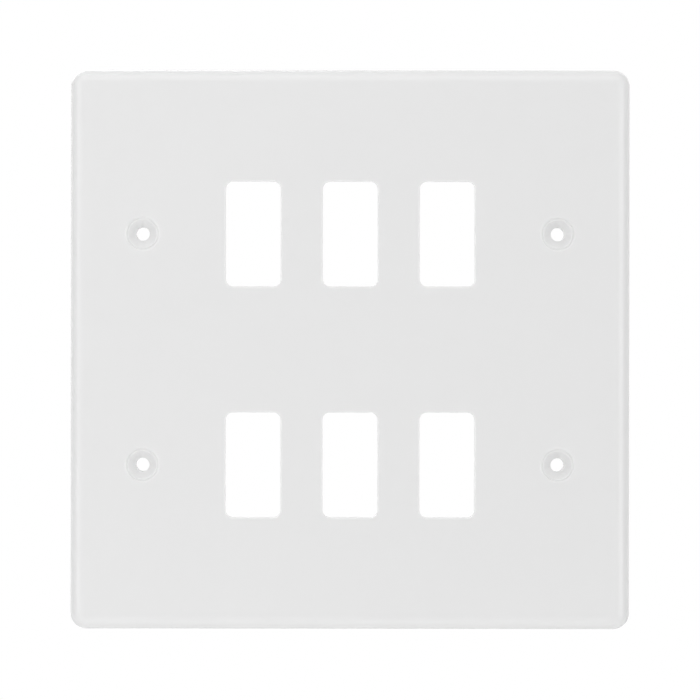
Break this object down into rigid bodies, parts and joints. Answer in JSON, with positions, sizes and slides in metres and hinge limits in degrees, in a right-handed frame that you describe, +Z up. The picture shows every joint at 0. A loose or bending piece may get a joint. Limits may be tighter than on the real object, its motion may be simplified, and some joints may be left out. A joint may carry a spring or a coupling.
{
  "type": "grid switch front plate",
  "caption": "White moulded front plate for a bank of grid switch modules, with rounded edge, rocker openings and countersunk screw holes.",
  "frame": {"origin": "centre of the plate in the plane of its rim, where it meets the wall", "axes": "+X right and +Z up as the plate hangs on the wall, +Y into the wall, so the front faces -Y"},
  "size_m": [0.1464, 0.009, 0.1464],
  "materials": {
    "white_plastic": "smooth satin-gloss white moulding"
  },
  "bodies": {
    "root": {"front_plate": "white_plastic"}
  },
  "joints": []
}
